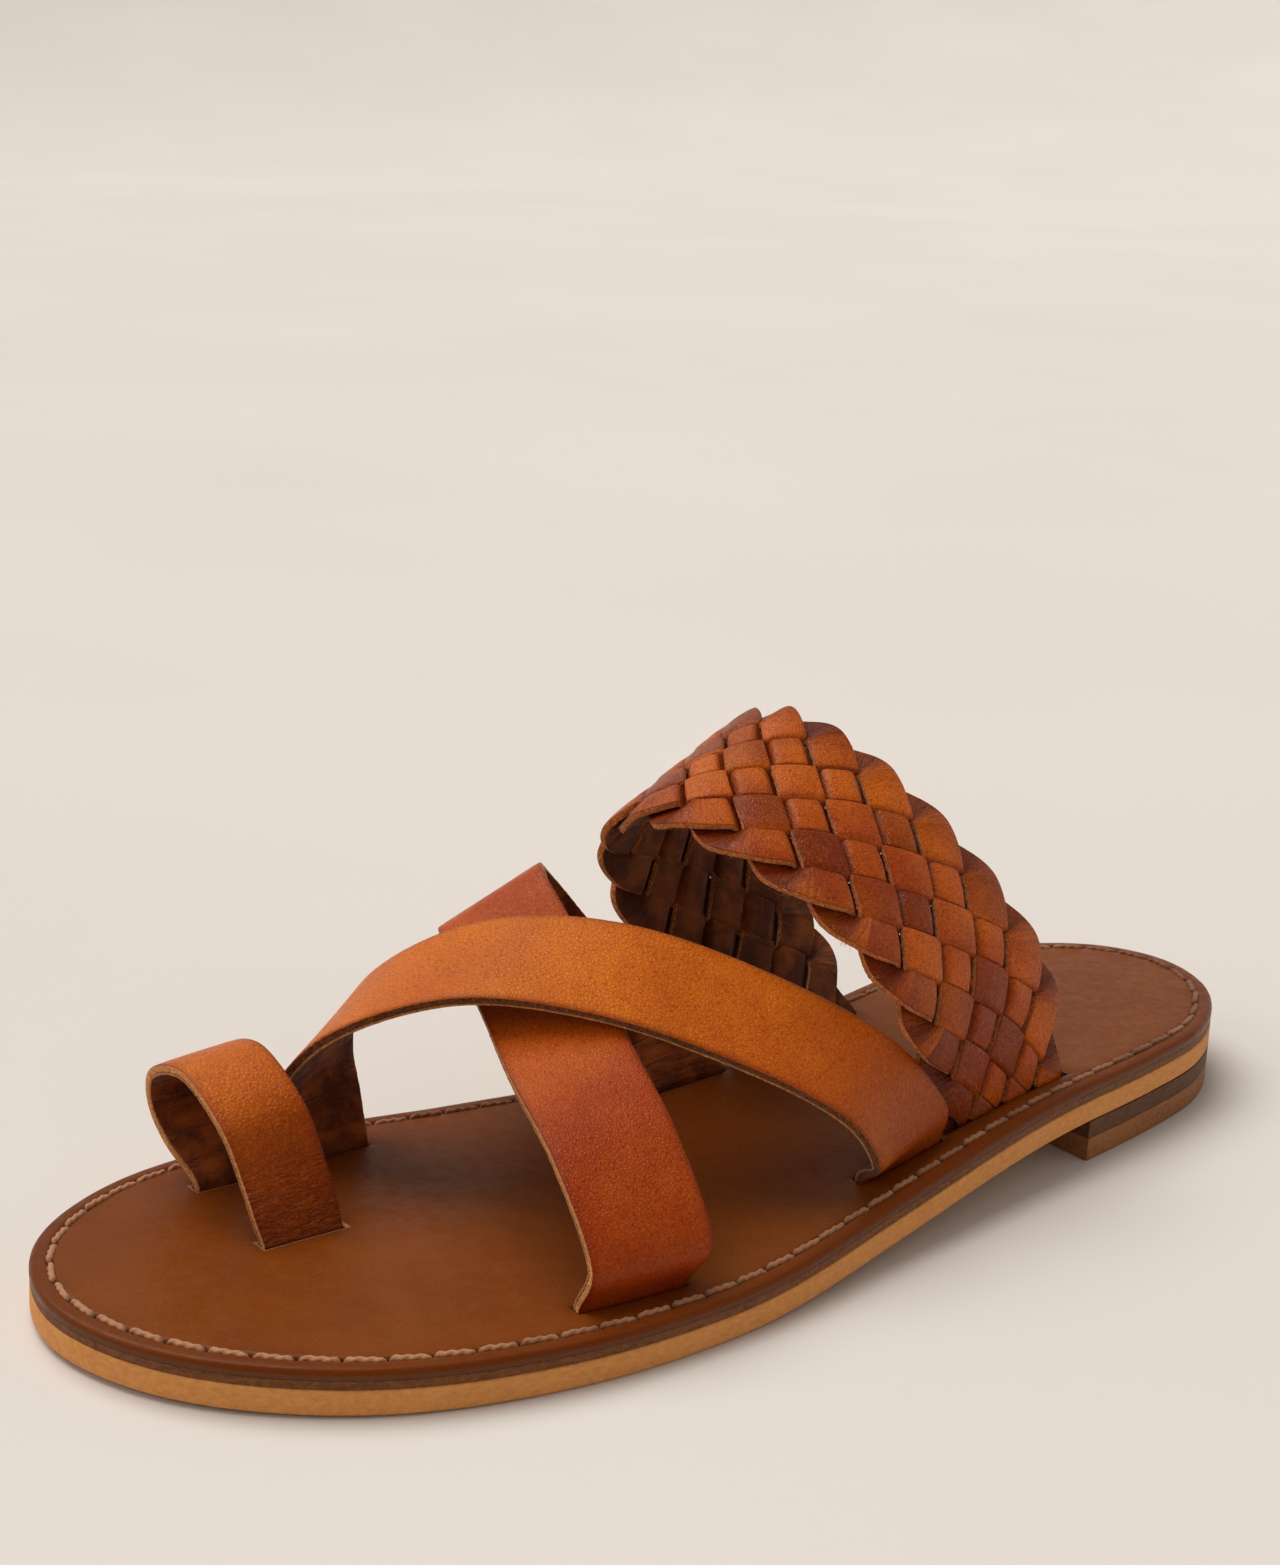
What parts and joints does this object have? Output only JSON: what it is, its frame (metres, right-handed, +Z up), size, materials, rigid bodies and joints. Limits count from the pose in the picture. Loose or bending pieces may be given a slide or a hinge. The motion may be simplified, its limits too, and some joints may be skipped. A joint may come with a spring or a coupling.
{
  "type": "flat leather sandal",
  "caption": "Flat left-foot leather sandal with a toe loop, crossed straps over the forefoot, a wide plaited instep strap, a layered stitched sole and a low heel.",
  "frame": {"origin": "on the floor, under the middle of the bounding box of the whole sandal", "axes": "+Z up from the floor, -Y towards the toe, +Y towards the heel, +X towards the outer side of the left foot"},
  "size_m": [0.0917, 0.248, 0.0762],
  "materials": {
    "insole_leather": "semi-gloss, mottled brown",
    "dark_leather": "dark painted edge, satin",
    "outsole_leather": "matt tan with fine specks",
    "heel_rubber": "matt brown",
    "thread": "waxed thread",
    "tan_leather": "fine pore grain, soft sheen",
    "red_tan_leather": "fine pore grain, soft sheen",
    "lining_leather": "smooth, matt, dark brown",
    "plait_leather": "polished strand leather with raw edges"
  },
  "bodies": {
    "root": {"insole": "insole_leather", "midsole": "dark_leather", "outsole": "outsole_leather", "heel_lift": "dark_leather", "heel_top_piece": "heel_rubber", "sole_stitching": "thread", "toe_loop": "tan_leather", "toe_loop_lining": "lining_leather", "over_strap": "tan_leather", "over_strap_lining": "lining_leather", "under_strap": "red_tan_leather", "under_strap_lining": "lining_leather", "plait_strand_1": "plait_leather", "plait_strand_2": "plait_leather", "plait_strand_3": "plait_leather", "plait_strand_4": "plait_leather", "plait_strand_5": "plait_leather", "plait_strand_6": "plait_leather", "plait_strand_7": "plait_leather"}
  },
  "joints": []
}
